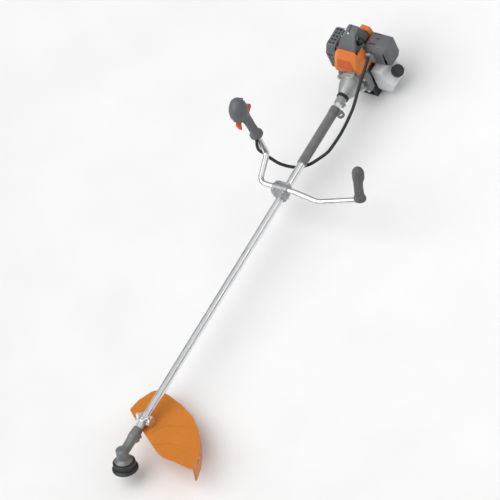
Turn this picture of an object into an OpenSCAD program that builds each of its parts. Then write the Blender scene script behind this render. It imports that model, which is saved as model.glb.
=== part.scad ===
// Petrol string trimmer with a straight shaft and bullhorn handlebar.
// Origin: middle of the stand's foot, on the ground. +X runs forward to the cutting head,
// +Y is the operator's left, +Z is up. The shaft axis is level, parallel to X.

/* [Shaft] */
// Height of the shaft axis above the ground
axis_h = 118; // [110:1:150]
// Outside diameter of the shaft tube
tube_od = 26; // [24:1:32]
// Wall of the shaft tube
tube_wall = 1.6; // [1.2:0.1:2.5]
// Distance from the clutch flange to the gear centre
gear_x = 1588; // [1350:1:1950]
// Diameter of the drive shaft inside the tube
drive_d = 8; // [6:0.5:9]
// Length of the foam sleeve on the tube
sleeve_len = 217; // [150:1:260]
// Wall of the foam sleeve
sleeve_wall = 3.5; // [2:0.5:6]
// Bore of the harness eye
eye_d = 11; // [8:0.5:14]

/* [Handlebar] */
// Distance from the clutch flange to the handlebar clamp
bar_x = 480; // [430:1:600]
// Diameter of the handlebar tube
bar_od = 20; // [18:0.5:25]
// Wall of the handlebar tube
bar_wall = 1.6; // [1:0.1:2.5]
// Sideways reach of the right arm, throttle side
right_reach = 135; // [120:1:170]
// Sideways reach of the left arm
left_reach = 305; // [250:1:350]
// Length of the throttle handle
handle_len = 190; // [180:1:210]
// Length of the left grip
grip_len = 138; // [120:1:160]

/* [Cutting head] */
// Lean of the output axis, forward from straight down
head_tilt = 14; // [10:1:30]
// Radius of the lower rim of the line head
head_r = 44; // [40:1:60]
// Diameter of the output shaft
output_d = 10; // [8:0.5:12]
// Travel of the bump knob
bump_travel = 5; // [3:0.5:6]
// Lean of the guard, rear edge down
guard_tilt = 14; // [8:1:16]
// Wall of the guard
guard_wall = 2.6; // [2:0.1:4]

/* [Engine] */
// Radius of the clutch housing flange
flange_r = 44; // [42:1:50]
// Distance of the cylinder axis behind the clutch flange
cylinder_x = 72; // [66:1:76]
// Cylinder bore
bore_d = 40; // [34:1:44]
// Number of cooling fins
fin_count = 8; // [5:1:9]
// Wall of the moulded covers
cover_wall = 2.5; // [1.5:0.1:3.5]
// Wall of the fuel tank
tank_wall = 2.5; // [1.5:0.1:4]
// Diameter of the fuel cap
cap_d = 43; // [40:1:46]
// Number of grip ribs on the fuel cap
cap_ribs = 20; // [8:1:30]
// Diameter of the throttle cable sheath
cable_d = 11; // [6:0.5:12]

/* [Fits] */
// Radial gap of turning parts
run_fit = 0.05; // [0.02:0.01:0.1]
// Gap between parts of different bodies
gap = 0.4; // [0.3:0.1:0.8]
// Radial gap of screws in their holes
screw_fit = 0.1; // [0.05:0.05:0.3]

/* [Hidden] */
$fn = 48;
tube_r = tube_od / 2;
drive_r = drive_d / 2;
bar_r = bar_od / 2;
out_r = output_d / 2;
flange_x = 75;
ground = -axis_h;

// Clutch end of the tube
tube_x0 = 50;
tube_x1 = gear_x - 68;
ring_x = [62, 72];
collar_x = [72.5, 97];
bracket_x = [115, 136.5];
sleeve_x = 137;
eye_x = bracket_x[1] - 2.5;
eye_y = tube_r + sleeve_wall + 14;

// Screws
m5_r = 2.5;
m5_head_r = 4.25;
m5_head_h = 5;

// Handlebar centre line
bar_z = tube_r + bar_r + 5;
handle_dir = unit([0, -0.13, 1]);
grip_dir = unit([-0.3, 0.02, 0.95]);
handle_foot = [bar_x - 122, -right_reach, 112];
bar_in_handle = 76;
grip_foot = [bar_x - 28, left_reach, 50];
bar_in_grip = grip_len - 28;

// Cutting end
guard_x = gear_x - 149;
socket_r = tube_r + 6;
bearing_r = 13;
rim_z = -60;
knob_r = 17.5;
spool_z = [-58.5, -33.5 - bump_travel];

// Engine
fan_x = [-34, -10];
crank_x = [-106, -35];
bottom_z = -50;
stand_x = [-flange_x - 35, -flange_x + 35];
flywheel_r = 38;
drum_r = 31;
case_y = 36;
cyl_z = [36, 116];
starter_x = [-152, -107];
starter_r = 42;
pulley_r = 26;
pull_y = -pulley_r - 2;
pull_x = -136;
box_y = [37, 114];
cap_at = [-104, 104, -36];
cap_dir = [0, sin(45), cos(45)];
cable_r = cable_d / 2;

// Route of the throttle cable, from the handle to the carburettor bracket
cable_route = [
    [376, -126, 114], [384, -128, 90], [382, -131, 62], [374, -122, 35], [376, -104, 21],
    [378, -74, 7], [370, -49, -10], [359, -28, -22], [346, -9, -27], [331, 10, -27],
    [307, 31, -22], [276, 53, -15], [248, 62, -8], [208, 69, 0], [171, 72, 8],
    [138, 73, 16], [105, 72, 24], [48, 66, 44], [-8, 63, 66], [-36, 62, 79], [-58, 58, 84]
];

// ---------- Helpers ----------

function unit(v) = v / norm(v);

// Arc that rounds corner b of a path a-b-c, in 2D or 3D
function bend(a, b, c, r, n) =
    let (
        u = unit(a - b),
        v = unit(c - b),
        half = acos(max(-1, min(1, u * v))) / 2,
        centre = b + unit(u + v) * r / sin(half),
        start = b + u * r / tan(half),
        out = (start - centre) / r,
        sweep = 180 - 2 * half
    )
    [for (i = [0 : n]) centre + r * (out * cos(sweep * i / n) - u * sin(sweep * i / n))];

// Closed outline with every corner rounded, by one radius or a list of them
function rounded(pts, r, n = 4) =
    let (m = len(pts))
    [
        for (i = [0 : m - 1])
            each bend(pts[(i + m - 1) % m], pts[i], pts[(i + 1) % m], is_list(r) ? r[i] : r, n)
    ];

// Open path with its inner corners rounded
function bent_path(pts, radii, n = 8) =
    let (m = len(pts))
    [
        pts[0],
        for (i = [1 : m - 2]) each bend(pts[i - 1], pts[i], pts[i + 1], radii[i - 1], n),
        pts[m - 1]
    ];

// Smooth path through points (Catmull-Rom), n steps per span
function through(pts, n) =
    let (m = len(pts))
    [
        for (i = [0 : m - 2])
            let (
                a = i == 0 ? 2 * pts[0] - pts[1] : pts[i - 1],
                b = pts[i],
                c = pts[i + 1],
                d = i == m - 2 ? 2 * pts[m - 1] - pts[m - 2] : pts[i + 2]
            )
            for (k = [0 : n - 1])
                let (t = k / n)
                0.5 * (2 * b + (c - a) * t + (2 * a - 5 * b + 4 * c - d) * t * t
                    + (3 * b - a - 3 * c + d) * t * t * t),
        pts[m - 1]
    ];

function tangents(p) =
    let (m = len(p))
    [for (i = [0 : m - 1]) unit(p[min(i + 1, m - 1)] - p[max(i - 1, 0)])];

function side_vectors(t, i, u) =
    i >= len(t) ? [] :
    let (v = unit(u - (u * t[i]) * t[i]))
    concat([v], side_vectors(t, i + 1, v));

// Rings of points around a path
function path_rings(p, r, sides) =
    let (
        t = tangents(p),
        u = side_vectors(t, 0, abs(t[0][2]) > 0.9 ? [1, 0, 0] : [0, 0, 1])
    )
    [
        for (i = [0 : len(p) - 1])
            let (w = cross(t[i], u[i]))
            [
                for (k = [0 : sides - 1])
                    let (a = 360 * k / sides)
                    p[i] + r * (u[i] * cos(a) + w * sin(a))
            ]
    ];

// Solid through a list of rings, each a list of the same number of points
module loft(rings) {
    m = len(rings[0]);
    last = len(rings) - 1;
    polyhedron(
        points = [for (ring = rings) each ring],
        faces = [
            [for (k = [0 : m - 1]) k],
            [for (k = [m - 1 : -1 : 0]) last * m + k],
            for (i = [0 : last - 1], k = [0 : m - 1])
                let (a = i * m + k, b = i * m + (k + 1) % m, c = b + m, d = a + m)
                each [[a, d, b], [b, d, c]]
        ]
    );
}

module sweep(p, r, sides) {
    loft(path_rings(p, r, sides));
}

// Outline moved inwards by d (mitred); points run clockwise or anticlockwise by sign
function inset(pts, d) =
    let (m = len(pts))
    [
        for (i = [0 : m - 1])
            let (
                e = unit(pts[i] - pts[(i + m - 1) % m]),
                f = unit(pts[(i + 1) % m] - pts[i]),
                ne = [-e[1], e[0]],
                nf = [-f[1], f[0]]
            )
            pts[i] + (is_list(d) ? d[i] : d) * (ne + nf) / (1 + ne * nf)
    ];

module on_axis() {
    translate([flange_x, 0, axis_h]) children();
}

// Cylinder along X
module rod_x(x0, x1, r) {
    translate([x0, 0, 0]) rotate([0, 90, 0]) cylinder(h = x1 - x0, r = r);
}

// Cylinder along Y
module rod_y(y0, y1, r) {
    translate([0, y1, 0]) rotate([90, 0, 0]) cylinder(h = y1 - y0, r = r);
}

// Turned solid about X, from a profile of [x, r] points
module turned_x(profile) {
    rotate([0, 90, 0]) rotate_extrude() polygon([for (p = profile) [p[1], p[0]]]);
}

// Prism with a YZ outline, from x0 to x1
module prism_x(outline, x0, x1) {
    translate([x0, 0, 0]) rotate([90, 0, 90]) linear_extrude(x1 - x0) polygon(outline);
}

// Prism with an XZ outline, from y0 to y1
module prism_y(outline, y0, y1) {
    translate([0, y1, 0]) rotate([90, 0, 0]) linear_extrude(y1 - y0) polygon(outline);
}

module box(lo, hi) {
    translate(lo) cube(hi - lo);
}

function rect(a, b, r) = rounded([[a[0], a[1]], [b[0], a[1]], [b[0], b[1]], [a[0], b[1]]], r);

// Points the local +Z axis along a direction
module point_to(dir) {
    rotate([0, acos(dir[2]), atan2(dir[1], dir[0])]) children();
}

// Socket-head screw: the head sits above z = 0, the shank below
module screw(length) {
    difference() {
        union() {
            cylinder(h = m5_head_h, r = m5_head_r);
            translate([0, 0, -length]) cylinder(h = length + 0.1, r = m5_r);
        }
        translate([0, 0, m5_head_h - 2.5]) cylinder(h = 3, r = 2.2, $fn = 6);
    }
}

module screw_hole(length) {
    translate([0, 0, -length]) cylinder(h = length + 0.01, r = m5_r + screw_fit);
}

// ---------- Shaft ----------

module shaft_tube() {
    color("gainsboro") on_axis() difference() {
        rod_x(tube_x0, tube_x1, tube_r);
        rod_x(tube_x0 - 1, tube_x1 + 1, tube_r - tube_wall);
    }
}

module drive_shaft() {
    color("dimgray") on_axis() rod_x(30, gear_x - 30, drive_r);
}

module shaft_bushings() {
    count = 5;
    color("peru") on_axis()
        for (i = [0 : count - 1])
            difference() {
                mid = tube_x0 + (tube_x1 - tube_x0) * (i + 0.5) / count;
                rod_x(mid - 11, mid + 11, tube_r - tube_wall);
                rod_x(mid - 12, mid + 12, drive_r + run_fit);
            }
}

module grip_sleeve() {
    groove_count = 5;
    color("dimgray") on_axis() difference() {
        rod_x(sleeve_x, sleeve_x + sleeve_len, tube_r + sleeve_wall);
        rod_x(sleeve_x - 1, sleeve_x + sleeve_len + 1, tube_r);
        for (i = [0 : groove_count - 1])
            translate([sleeve_x + sleeve_len - 8 - 6 * i, 0, 0]) difference() {
                rod_x(0, 2, tube_r + sleeve_wall + 1);
                rod_x(-1, 3, tube_r + sleeve_wall - 0.8);
            }
    }
}

module harness_bracket() {
    color("darkslategray") on_axis() difference() {
        union() {
            rod_x(bracket_x[0], bracket_x[1], tube_r + sleeve_wall + 1);
            translate([eye_x, eye_y, -3]) cylinder(h = 6, r = eye_d / 2 + 7.5);
            box([bracket_x[0] + 2, tube_r + 1, -3], [bracket_x[1], eye_y - 2, 3]);
        }
        rod_x(bracket_x[0] - 1, bracket_x[1] + 1, tube_r);
        translate([eye_x, eye_y, -10]) cylinder(h = 20, r = eye_d / 2);
    }
}

// ---------- Handlebar ----------

bar_path = bent_path([
    handle_foot + handle_dir * bar_in_handle,
    handle_foot + handle_dir * -4,
    [bar_x - 102, -right_reach + 27, 47],
    [bar_x, -right_reach + 51, bar_z],
    [bar_x, 52, bar_z],
    [bar_x + 6, left_reach - 159, bar_z - 10],
    grip_foot,
    grip_foot + grip_dir * bar_in_grip
], [20, 22, 30, 90, 70, 26]);

module handlebar_tube() {
    color("gainsboro") on_axis() difference() {
        sweep(bar_path, bar_r, 28);
        sweep(open_ends(bar_path, 1), bar_r - bar_wall, 20);
    }
}

// Path made longer at both ends
function open_ends(p, d) =
    let (m = len(p))
    [
        p[0] + unit(p[0] - p[1]) * d,
        for (i = [1 : m - 2]) p[i],
        p[m - 1] + unit(p[m - 1] - p[m - 2]) * d
    ];

clamp_len = 56;
clamp_w = 2 * bar_r + 26;
clamp_screw_x = bar_r + 7;
clamp_screw_y = clamp_len / 2 - 8;

module clamp_block(z0, z1) {
    translate([0, 0, z0]) linear_extrude(z1 - z0)
        polygon(rect([-clamp_w / 2, -clamp_len / 2], [clamp_w / 2, clamp_len / 2], 6));
}

module bar_clamp_holes(top, depth) {
    for (sx = [-1, 1], sy = [-1, 1])
        translate([sx * clamp_screw_x, sy * clamp_screw_y, top]) screw_hole(depth);
}

module handlebar_clamp_base() {
    color("silver") on_axis() translate([bar_x, 0, 0]) difference() {
        union() {
            clamp_block(4, bar_z - 0.5);
            rod_x(-clamp_w / 2, clamp_w / 2, tube_r + 5);
            box([-14, -9, -tube_r - 12], [14, 9, -tube_r]);
        }
        rod_x(-clamp_w, clamp_w, tube_r);
        translate([0, 0, bar_z]) rod_y(-clamp_len, clamp_len, bar_r + 0.02);
        bar_clamp_holes(bar_z, 12);
        box([-clamp_w, -1.2, -tube_r - 13], [clamp_w, 1.2, -tube_r + 2]);
        translate([0, 9, -tube_r - 8]) rotate([-90, 0, 0]) screw_hole(18);
    }
}

module handlebar_clamp_cap() {
    color("silver") on_axis() translate([bar_x, 0, 0]) difference() {
        union() {
            clamp_block(bar_z + 0.5, bar_z + 8);
            translate([0, 0, bar_z]) intersection() {
                rod_y(-clamp_len / 2, clamp_len / 2, bar_r + 5);
                box([-40, -40, 0.5], [40, 40, 40]);
            }
        }
        translate([0, 0, bar_z]) rod_y(-clamp_len, clamp_len, bar_r + 0.02);
        bar_clamp_holes(bar_z + 8, 12);
    }
}

// Elliptic ring across a handle axis, at height w with centre offset [x, y]
function oval(w, x, y, a, b, n = 28) =
    [for (k = [0 : n - 1]) [x + a * cos(360 * k / n), y + b * sin(360 * k / n), w]];

// Takes the engine frame into the grip's own frame
grip_lean = [acos(grip_dir[2]), atan2(grip_dir[1], grip_dir[0])];

module into_grip() {
    rotate([0, -grip_lean[0], 0]) rotate([0, 0, -grip_lean[1]]) translate(-grip_foot) children();
}

module left_grip() {
    profile = [
        [0, 0, 20], [3, 0, 22], [10, 0, 22], [15, 0, 19], [26, 0, 16.5], [50, 0, 16],
        [72, -2, 16.5], [84, -4, 19], [94, -6, 21], [112, -7, 21.5]
    ];
    color("dimgray") on_axis() translate(grip_foot) point_to(grip_dir) difference() {
        loft(concat(
            [for (p = profile) oval(p[0], 0, p[1], p[2] * 0.92, p[2])],
            [
                for (a = [15 : 15 : 75])
                    oval(112 + (grip_len - 112) * sin(a), 0, -7, 19.8 * cos(a), 21.5 * cos(a))
            ]
        ));
        into_grip() sweep(open_ends(bar_path, 0.3), bar_r + 0.15, 28);
    }
}

// ---------- Throttle handle, local +Z along the handle, +X forward ----------

// Lever pins: place forward and up the handle, and half length
trigger_at = [6, handle_len - 72, 20.4];
lockout_at = [-5, handle_len - 86, 9];
pin_r = 2.5;
lever_half = 5.5;

module on_handle() {
    on_axis() translate(handle_foot) rotate([asin(-handle_dir[1]), 0, 0]) children();
}

// [height, x offset, half width in x, half width in y]
handle_profile = [
    [0, 0, 21, 21], [3, 0, 23, 23], [12, 0, 23, 23], [18, 0, 18, 19], [26, 0, 15.5, 16.5],
    [56, 0, 15, 15.5], [78, 0, 16.5, 15.5], [94, 1, 18, 16], [103, 4, 22, 18.5],
    [112, 9, 29, 22], [124, 12, 34, 26], [142, 11, 37, 29], [158, 9, 35, 28.5], [171, 6, 29, 25],
    [181, 4, 21, 19], [187, 3, 13, 12], [190, 3, 5, 5]
];

module handle_solid(shrink, w0, w1) {
    s = handle_len / 190;
    loft([
        for (p = handle_profile)
            if (p[0] >= w0 && p[0] <= w1)
                oval(p[0] * s, p[1], 0, p[2] - shrink, p[3] - shrink)
    ]);
}

module handle_cuts() {
    // Bar socket, flange recess, lever slots and switch slot
    translate([0, 0, -1]) cylinder(h = bar_in_handle + 1, r = bar_r + 0.02);
    box([-2, -lever_half - 1, handle_len - 104], [60, lever_half + 1, handle_len - 58]);
    box([-60, -lever_half - 1, handle_len - 104], [3, lever_half + 1, handle_len - 61]);
    box([-60, -4.3, handle_len - 34], [-4, 4.3, handle_len - 15]);
}

module throttle_shell(side) {
    on_handle() difference() {
        intersection() {
            handle_solid(0, 0, 190);
            box([-60, side > 0 ? 0 : -60, -10], [60, side > 0 ? 60 : 0, 250]);
        }
        intersection() {
            handle_solid(cover_wall, 104, 181);
            box([-60, side > 0 ? -1 : -60, 0], [60, side > 0 ? 60 : 1, handle_len - 12]);
        }
        handle_cuts();
    }
}

module throttle_shell_left() {
    color("dimgray") union() {
        throttle_shell(1);
        on_handle() for (at = [trigger_at, lockout_at])
            translate([at[0], 0, at[1]]) rod_y(-at[2], at[2], pin_r);
    }
}

module throttle_shell_right() {
    color("dimgray") difference() {
        throttle_shell(-1);
        on_handle() for (at = [trigger_at, lockout_at])
            translate([at[0], 0, at[1]]) rod_y(-at[2] - 0.5, 0, pin_r + screw_fit);
    }
}

module throttle_trigger() {
    outline = [
        [-5, -3], [-4, 5], [14, 6], [34, 3], [43, -8], [41, -31], [36, -34], [28, -17], [12, -7]
    ];
    color("orangered") on_handle() translate([trigger_at[0], 0, trigger_at[1]]) difference() {
        prism_y(rounded(outline, 1.8), -lever_half, lever_half);
        rod_y(-10, 10, pin_r + run_fit);
    }
}

module trigger_lockout() {
    outline = [[5, -4], [4, 5], [-6, 14], [-29, 21], [-37, 13], [-32, 3], [-16, -3], [-4, -5]];
    color("darkorange") on_handle() translate([lockout_at[0], 0, lockout_at[1]]) difference() {
        prism_y(rounded(outline, 1.6), -lever_half, lever_half);
        rod_y(-10, 10, pin_r + run_fit);
    }
}

module stop_switch() {
    color("red") on_handle() translate([-27, 0, handle_len - 31])
        prism_y(rounded([[-2, 0], [7, 0], [7, 9], [2, 9], [-2, 5]], 0.8), -3.9, 3.9);
}

module throttle_cable() {
    color("black") on_axis() sweep(through(cable_route, 2), cable_r, 8);
}

// ---------- Clamp screws ----------

module clamp_screws() {
    color("lightgray") on_axis() {
        for (sx = [-1, 1], sy = [-1, 1])
            translate([bar_x + sx * clamp_screw_x, sy * clamp_screw_y, bar_z + 8]) screw(18);
        translate([bar_x, 9, -tube_r - 8]) rotate([-90, 0, 0]) screw(17);
        for (sy = [-1, 1])
            translate([guard_x, sy * guard_screw_y, guard_cap_top]) screw(guard_cap_top + 13);
        translate([collar_mid, collar_lug[1], -tube_r - 7]) rotate([-90, 0, 0]) screw(17);
        translate([gear_x - 92, socket_lug, -tube_r - 8]) rotate([-90, 0, 0]) screw(17);
        translate([gear_x - 78, socket_lug, -tube_r - 8]) rotate([-90, 0, 0]) screw(17);
    }
}

// ---------- Guard ----------

guard_top = -tube_r - 12;
guard_cap_top = tube_r + 6;
guard_screw_y = tube_r + 7;

// Outline in the guard's own plane: [forward, left] of the clamp; the last six are the open front edge
guard_back = 160;
guard_outline = [
    [-40, -92], [-92, -90], [-guard_back, -66], [-150, -10], [-124, 60], [-84, 132], [-30, 188],
    [14, 220], [70, 250], [131, 272], [137, 255], [127, 195], [123, 146], [110, 115],
    [54, 35], [4, -36]
];
guard_radii = [12, 40, 25, 60, 80, 80, 80, 80, 60, 5, 5, 60, 40, 40, 60, 8];
// The skirt reaches the ground at the rear edge
skirt_h = (guard_top - ground - guard_back * sin(guard_tilt)) / cos(guard_tilt);
guard_open = [for (i = [0 : 15]) i == 0 || i > 9 ? -30 : 1];

module on_guard() {
    on_axis() translate([guard_x, 0, guard_top]) rotate([0, -guard_tilt, 0]) children();
}

module guard_seam(pts) {
    for (i = [0 : len(pts) - 2])
        let (d = pts[i + 1] - pts[i])
            translate([pts[i][0], pts[i][1], -0.2]) rotate(atan2(d[1], d[0]))
                translate([-1, -1, 0]) cube([norm(d) + 2, 2, 1.4]);
}

module guard() {
    inner = inset(guard_outline, [for (o = guard_open) -(o > 0 ? guard_wall : o)]);
    inner_radii = [for (r = guard_radii) max(2, r - guard_wall)];
    color("darkorange") on_guard() difference() {
        union() {
            translate([0, 0, -skirt_h]) linear_extrude(skirt_h)
                polygon(rounded(guard_outline, guard_radii));
            guard_seam([[42, 36], [-14, 62], [-42, 150]]);
            guard_seam([[82, 82], [56, 122], [49, 206]]);
        }
        translate([0, 0, -skirt_h - 1]) linear_extrude(skirt_h + 1 - guard_wall)
            polygon(rounded(inner, inner_radii));
        for (sy = [-1, 1])
            translate([0, sy * guard_screw_y, -20]) cylinder(h = 30, r = m5_r + 1);
        guard_slots();
    }
}

// Slots through the skirt on the outer arc, by share of the way between two outline corners
module guard_slots() {
    for (slot = [[6, 0.25, 30], [6, 0.85, 26], [7, 0.6, 20], [8, 0.25, 26]]) {
        a = guard_outline[slot[0]];
        b = guard_outline[slot[0] + 1];
        p = a + (b - a) * slot[1];
        translate([p[0], p[1], -14]) rotate(atan2(b[1] - a[1], b[0] - a[0]))
            translate([-slot[2] / 2, -8, -5]) cube([slot[2], 16, 6]);
    }
}

module guard_bracket() {
    color("silver") on_axis() difference() {
        translate([guard_x, 0, 0])
            box([-17, -guard_screw_y - 7, guard_top + 5], [17, guard_screw_y + 7, -0.6]);
        rod_x(guard_x - 30, guard_x + 30, tube_r);
        for (sy = [-1, 1])
            translate([guard_x, sy * guard_screw_y, 0]) screw_hole(40);
        translate([guard_x, 0, guard_top]) rotate([0, -guard_tilt, 0]) box([-60, -60, -40], [60, 60, 0.01]);
    }
    color("silver") on_guard() difference() {
        box([-16, -guard_screw_y - 6, 0.02], [16, guard_screw_y + 6, 6]);
        for (sy = [-1, 1])
            translate([0, sy * guard_screw_y, -1]) cylinder(h = 9, r = m5_r + 1);
    }
}

module guard_clamp_cap() {
    color("silver") on_axis() difference() {
        translate([guard_x, 0, 0]) union() {
            box([-15, -guard_screw_y - 7, 0.6], [15, guard_screw_y + 7, 6]);
            intersection() {
                rod_x(-15, 15, tube_r + 6);
                box([-20, -40, 0.6], [20, 40, 40]);
            }
            for (sy = [-1, 1])
                translate([0, sy * guard_screw_y, 0.6]) cylinder(h = guard_cap_top - 0.6, r = 6);
        }
        rod_x(guard_x - 30, guard_x + 30, tube_r);
        for (sy = [-1, 1])
            translate([guard_x, sy * guard_screw_y, guard_cap_top]) screw_hole(40);
    }
}

// ---------- Gear head, local -Z along the output axis ----------

socket_lug = 9;
cone_far = 22;
cone_near = 12;
pinion_teeth = 14;
gear_teeth = 19;
pinion_cone = atan(cos(head_tilt) / (gear_teeth / pinion_teeth + sin(head_tilt)));
gear_cone = 90 - head_tilt - pinion_cone;
gear_space_r = cone_far * sin(gear_cone) + 1.5;

module at_gear() {
    on_axis() translate([gear_x, 0, 0]) rotate([0, -head_tilt, 0]) children();
}

// Bevel gear with its apex at the origin, opening along +Z, with notched flanks
module bevel(cone, teeth) {
    lean = 0.25;
    difference() {
        translate([0, 0, cone_near * cos(cone)])
            cylinder(
                h = (cone_far - cone_near) * cos(cone),
                r1 = cone_near * sin(cone) - lean,
                r2 = cone_far * sin(cone) - lean,
                $fn = 48
            );
        for (i = [0 : teeth - 1])
            rotate([0, cone, 360 * i / teeth]) translate([0, 0, cone_near - 2])
                linear_extrude(cone_far) polygon([[2, -1.4], [2, 1.4], [-1.5, 0.3], [-1.5, -0.3]]);
    }
}

module gearcase() {
    color("gray") on_axis() difference() {
        union() {
            turned_neck();
            translate([gear_x, 0, 0]) rotate([0, -head_tilt, 0]) rotate_extrude()
                polygon([
                    [0, -27], [30, -27], [31, -25], [29, -22], [20, -14], [gear_space_r + 3, -8],
                    [gear_space_r + 3, 20], [gear_space_r, 24], [0, 25]
                ]);
            box([gear_x - 100, -9, -tube_r - 13], [gear_x - 70, 9, -tube_r]);
        }
        rod_x(gear_x - 130, gear_x - 67, tube_r);
        rod_x(gear_x - 68, gear_x - 8, bearing_r);
        box([gear_x - 130, -1, -tube_r - 14], [gear_x - 66, 1, 0]);
        for (x = [92, 78])
            translate([gear_x - x, 9, -tube_r - 8]) rotate([-90, 0, 0]) screw_hole(18);
        translate([gear_x, 0, 0]) rotate([0, -head_tilt, 0]) {
            translate([0, 0, -28]) cylinder(h = 14.5, r = bearing_r);
            translate([0, 0, -13.6]) cylinder(h = 31, r = gear_space_r);
            translate([0, 0, 17]) cylinder(h = 5.5, r = out_r + 4);
        }
    }
}

module turned_neck() {
    turned_x([
        [gear_x - 108, 0], [gear_x - 108, socket_r - 2], [gear_x - 70, socket_r],
        [gear_x - 62, socket_r - 2], [gear_x - 10, socket_r - 3], [gear_x, socket_r - 6], [gear_x, 0]
    ]);
}

module pinion_gear() {
    color("darkgray") on_axis() translate([gear_x, 0, 0]) difference() {
        union() {
            rotate([0, -90, 0]) bevel(pinion_cone, pinion_teeth);
            rod_x(-56, -cone_far * cos(pinion_cone) + 0.1, 6.5);
        }
        rod_x(-60, -30, drive_r);
    }
}

module output_gear() {
    color("darkgray") at_gear() difference() {
        bevel(gear_cone, gear_teeth);
        cylinder(h = 40, r = out_r);
    }
}

module output_shaft() {
    color("silver") at_gear() {
        translate([0, 0, -67]) cylinder(h = 45, r = out_r);
        translate([0, 0, -22]) cylinder(h = 44, r = out_r);
    }
}

module bearing(r0, r1, w) {
    difference() {
        cylinder(h = w, r = r1);
        translate([0, 0, -1]) cylinder(h = w + 2, r = r0);
    }
}

module gear_bearings() {
    color("silver") {
        at_gear() translate([0, 0, -26]) bearing(out_r + run_fit, bearing_r, 10);
        at_gear() translate([0, 0, 17.2]) bearing(out_r + run_fit, out_r + 4, 4.5);
        for (x = [50, 39])
            on_axis() translate([gear_x - x, 0, 0]) rotate([0, 90, 0])
                bearing(6.5 + run_fit, bearing_r, 8);
    }
}

module head_housing() {
    color("black") at_gear() difference() {
        rotate_extrude() polygon([
            [out_r, -28], [head_r - 10, -28], [head_r - 6, -30.5], [head_r - 6, -35],
            [head_r - 9, -37], [head_r - 8.5, -52], [head_r - 12, -52], [head_r - 12, -32.5],
            [out_r, -32.5]
        ]);
        for (a = [90, 270])
            rotate([0, 90, a]) translate([46, 0, 20]) cylinder(h = 30, r = 2.6);
        for (i = [0 : 11])
            rotate(30 * i + 15) box([head_r - 9.6, -2.5, -53], [head_r, 2.5, -38]);
    }
}

module head_cover() {
    color("black") at_gear() rotate_extrude() polygon([
        [head_r - 8.4, -50], [head_r - 4, -52], [head_r, -55], [head_r, rim_z], [head_r - 4, -63.5],
        [knob_r + gap, -65], [knob_r + gap, rim_z - 1], [head_r - 12, rim_z - 1],
        [head_r - 12, -52.2], [head_r - 8.4, -52.2]
    ]);
}

module head_spool() {
    color("dimgray") at_gear() rotate_extrude() polygon([
        [9, spool_z[0] + 3], [9, spool_z[1]], [head_r - 13, spool_z[1]], [head_r - 13, spool_z[1] - 2],
        [13, spool_z[1] - 2], [13, spool_z[0] + 2], [head_r - 13, spool_z[0] + 2],
        [head_r - 13, spool_z[0]], [out_r + 1, spool_z[0]], [out_r + 1, spool_z[0] + 3]
    ]);
}

module trimmer_line() {
    color("orange") at_gear() rotate_extrude() polygon([
        [13.2, spool_z[0] + 2.2], [13.2, spool_z[1] - 2.2], [head_r - 15, spool_z[1] - 2.2],
        [head_r - 15, spool_z[0] + 2.2]
    ]);
}

module bump_knob() {
    color("black") at_gear() rotate_extrude() polygon([
        [out_r + 1, spool_z[0]], [knob_r, spool_z[0]], [knob_r, -70], [14, -75], [9, -77],
        [0, -78], [0, -74], [out_r + 1, -73]
    ]);
}

module head_spring() {
    turns = 3.5;
    steps = 14;
    path = [
        for (i = [0 : turns * steps])
            let (a = 360 * i / steps)
            [7.4 * cos(a), 7.4 * sin(a), -33.7 - 15.5 * i / (turns * steps)]
    ];
    color("silver") at_gear() sweep(path, 0.7, 8);
}

// ---------- Clutch ----------

collar_mid = (collar_x[0] + collar_x[1]) / 2;
collar_lug = [tube_r + 5, 9];
flange_bolts = [68, 158, 248, 338];
bolt_circle = flange_r + 2;

module clutch_housing() {
    color("silver") on_axis() difference() {
        union() {
            turned_x([
                [0, 0], [0, flange_r], [6, flange_r], [8, 39], [30, 35], [50, 27], [ring_x[0], 21],
                [ring_x[0], 0]
            ]);
            for (a = flange_bolts)
                rotate([a, 0, 0]) translate([0, bolt_circle, 0]) rod_x(0, 9, 7);
        }
        rod_x(-1, 26, drum_r + 2);
        rod_x(20, 49, 12 + run_fit);
        rod_x(tube_x0 - 1, 70, tube_r);
        for (a = flange_bolts)
            rotate([a, 0, 0]) translate([9, bolt_circle, 0]) rotate([0, 90, 0]) screw_hole(12);
    }
}

module damper_ring() {
    color("black") on_axis() difference() {
        rod_x(ring_x[0], ring_x[1], 21);
        rod_x(ring_x[0] - 1, ring_x[1] + 1, tube_r);
    }
}

module tube_collar() {
    color("silver") on_axis() difference() {
        union() {
            rod_x(collar_x[0], collar_x[1], tube_r + 4);
            box([collar_mid - 8, -9, -tube_r - 12], [collar_mid + 8, 9, -tube_r]);
        }
        rod_x(collar_x[0] - 1, collar_x[1] + 1, tube_r);
        box([collar_x[0] - 1, -1, -tube_r - 13], [collar_x[1] + 1, 1, 0]);
        translate([collar_mid, 9, -tube_r - 7]) rotate([-90, 0, 0]) screw_hole(18);
    }
}

module clutch_drum() {
    color("gray") on_axis() difference() {
        union() {
            rod_x(4, 24, drum_r);
            rod_x(24, 47, 12);
        }
        rod_x(3, 21, drum_r - 2.5);
        rod_x(20, 48, drive_r);
    }
}

module clutch_rotor() {
    color("slategray") on_axis() difference() {
        rod_x(-8, 18, drum_r - 3.2);
        rod_x(-9, 19, 8);
        for (a = [0 : 120 : 240])
            rotate([a, 0, 0]) box([-6, -1.5, 12], [20, 1.5, 40]);
    }
}

// ---------- Engine block ----------

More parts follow.
